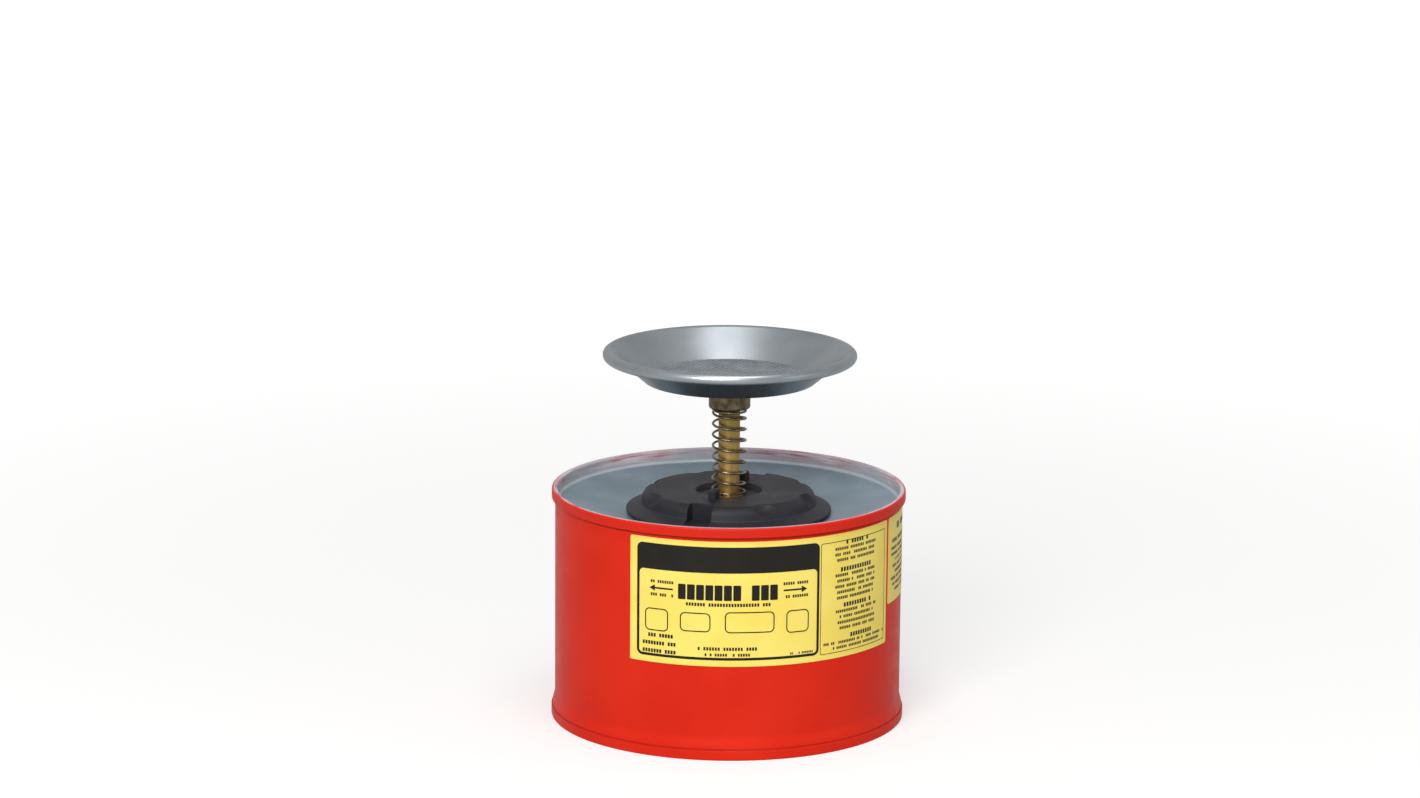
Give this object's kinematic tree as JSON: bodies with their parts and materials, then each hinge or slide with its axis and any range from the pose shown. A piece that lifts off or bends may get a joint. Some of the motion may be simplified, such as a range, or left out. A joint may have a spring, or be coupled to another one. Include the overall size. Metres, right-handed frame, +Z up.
{
  "type": "plunger can",
  "caption": "Round metal plunger can: a spring-loaded dished pan on a brass stem pumps solvent up through a perforated screen to wet a cloth.",
  "frame": {"origin": "centre of the can's base, in the plane it stands on", "axes": "+Z up along the plunger; -Y is the front, where the main label faces"},
  "size_m": [0.184, 0.184, 0.194],
  "materials": {
    "red_enamel": "baked gloss enamel over steel",
    "galvanised_steel": "zinc-coated sheet, faint spangle",
    "label_paper": "printed and varnished paper, yellow",
    "brass_fitting": "turned brass",
    "brass_tube": "drawn brass tube, lightly tarnished",
    "dark_bronze": "darkened bronze",
    "black_nylon": "moulded black nylon",
    "black_rubber": "black nitrile rubber",
    "zinc_screw": "zinc-plated steel",
    "stainless_steel": "stainless steel",
    "spring_wire": "drawn spring steel wire",
    "satin_steel": "pressed steel, satin",
    "screen_steel": "perforated steel sheet, dull"
  },
  "bodies": {
    "can": {"can_shell": "red_enamel", "can_base": "red_enamel", "can_lid": "galvanised_steel", "front_label": "label_paper", "side_label": "label_paper", "neck_ring": "brass_fitting"},
    "cap_gasket": {"cap_gasket": "black_rubber"},
    "pump_head": {"pump_cap": "black_nylon", "guide_bush": "brass_fitting", "stem_seal": "black_rubber", "gland_nut": "brass_fitting", "pump_barrel": "brass_fitting", "barrel_screws": "zinc_screw", "foot_valve": "brass_fitting", "foot_stop_pin": "stainless_steel", "dip_tube": "brass_fitting", "intake_strainer": "stainless_steel", "return_spring": "spring_wire"},
    "foot_ball": {"foot_ball": "stainless_steel"},
    "piston_seal": {"piston_seal": "black_rubber"},
    "plunger": {"piston": "brass_fitting", "valve_stop_pin": "stainless_steel", "plunger_stem": "brass_tube", "pan_hub": "dark_bronze", "dasher_pan": "satin_steel", "pan_nut": "brass_fitting", "flame_screen": "screen_steel"},
    "discharge_ball": {"discharge_ball": "stainless_steel"}
  },
  "joints": [
    {"name": "cap_rise", "type": "slide", "parent": "can", "child": "cap_gasket", "axis": [0, 0, 1], "range_m": [0, 0.0091]},
    {"name": "cap_turn", "type": "hinge", "parent": "cap_gasket", "child": "pump_head", "pos_m": [0, 0, 0.109], "axis": [0, 0, 1], "range_deg": [0, 540]},
    {"name": "foot_ball_lift", "type": "slide", "parent": "pump_head", "child": "foot_ball", "axis": [0, 0, 1], "range_m": [0, 0.0025]},
    {"name": "plunger_press", "type": "slide", "parent": "pump_head", "child": "piston_seal", "axis": [0, 0, -1], "range_m": [0, 0.03], "stiffness_N_per_m": 250, "springref_m": -0.03, "deforming": ["return_spring"]},
    {"name": "plunger_spin", "type": "hinge", "parent": "piston_seal", "child": "plunger", "pos_m": [0, 0, 0.0944], "axis": [0, 0, 1], "continuous": true},
    {"name": "discharge_ball_lift", "type": "slide", "parent": "plunger", "child": "discharge_ball", "axis": [0, 0, 1], "range_m": [0, 0.0025]}
  ],
  "couplings": [
    {"joint": "cap_rise", "follows": "cap_turn", "m_per_rad": 0.00095493}
  ]
}
